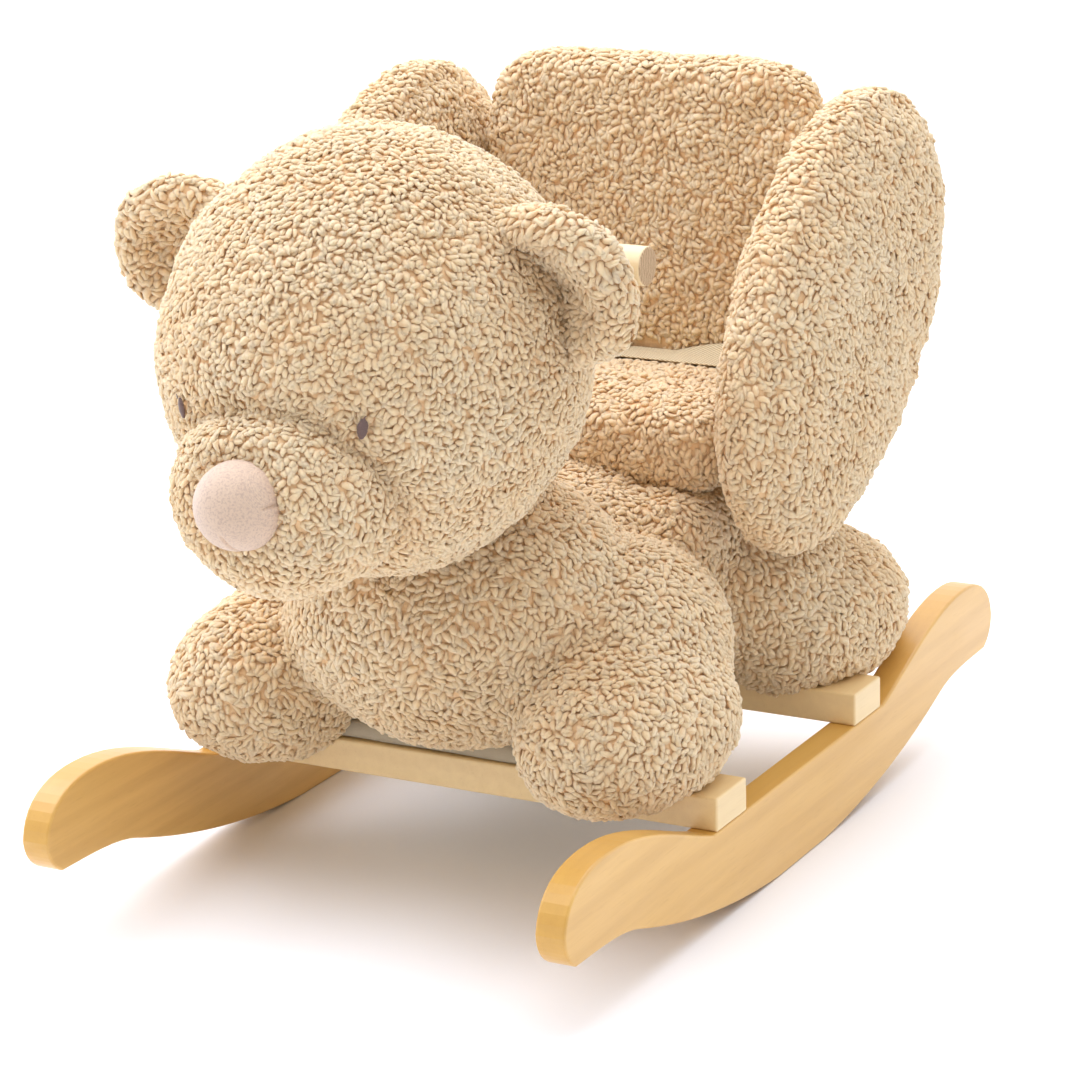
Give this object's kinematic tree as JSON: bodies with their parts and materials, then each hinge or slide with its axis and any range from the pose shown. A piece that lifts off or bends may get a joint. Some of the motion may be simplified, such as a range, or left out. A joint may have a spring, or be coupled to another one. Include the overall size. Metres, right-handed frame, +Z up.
{
  "type": "rocking horse",
  "caption": "Plush bear-shaped rocker on two curved wooden runners, with a padded seat, backrest, side wings, lap belt and dowel handlebar.",
  "frame": {"origin": "on the floor, midway between the nose and the rear tips of the runners, on the centre plane", "axes": "+Z up, -Y the way the bear faces, +X towards the bear's left side"},
  "size_m": [0.359, 0.6406, 0.454],
  "materials": {
    "wood_runner": "clear matt varnish on laminated beech",
    "wood_pale": "clear matt varnish",
    "plywood": "bare sanded plywood",
    "steel_zinc": "zinc plated",
    "cotton_cover": "plain woven cotton",
    "sherpa": "curly boucle teddy pile",
    "nose_cloth": "fine melange jersey",
    "eye_thread": "satin stitch embroidery",
    "webbing": "ribbed cotton webbing",
    "buckle_plastic": "moulded, slightly satin"
  },
  "bodies": {
    "rocker": {"runner_left": "wood_runner", "runner_right": "wood_runner", "slat_front": "wood_pale", "slat_rear": "wood_pale", "runner_screws": "steel_zinc", "base_screws": "steel_zinc", "base_board": "plywood", "base_cover": "cotton_cover", "upright_left": "plywood", "upright_right": "plywood", "head_post": "plywood", "handlebar": "wood_pale", "seat_board": "plywood", "seat_screws": "steel_zinc", "backrest_board": "plywood", "wing_board_left": "plywood", "wing_board_right": "plywood", "body": "sherpa", "leg_front_left": "sherpa", "leg_front_right": "sherpa", "leg_rear_left": "sherpa", "leg_rear_right": "sherpa", "head": "sherpa", "muzzle": "sherpa", "nose": "nose_cloth", "ear_left": "sherpa", "ear_right": "sherpa", "eyes": "eye_thread", "seat_cushion": "sherpa", "backrest_cushion": "sherpa", "wing_left": "sherpa", "wing_right": "sherpa", "belt_left": "webbing", "belt_right": "webbing", "buckle_socket": "buckle_plastic"},
    "belt_plug": {"buckle_plug": "buckle_plastic", "belt_tail": "webbing"}
  },
  "joints": [
    {"name": "buckle_release", "type": "slide", "parent": "rocker", "child": "belt_plug", "axis": [1, 0, 0], "range_m": [0, 0.022]}
  ]
}
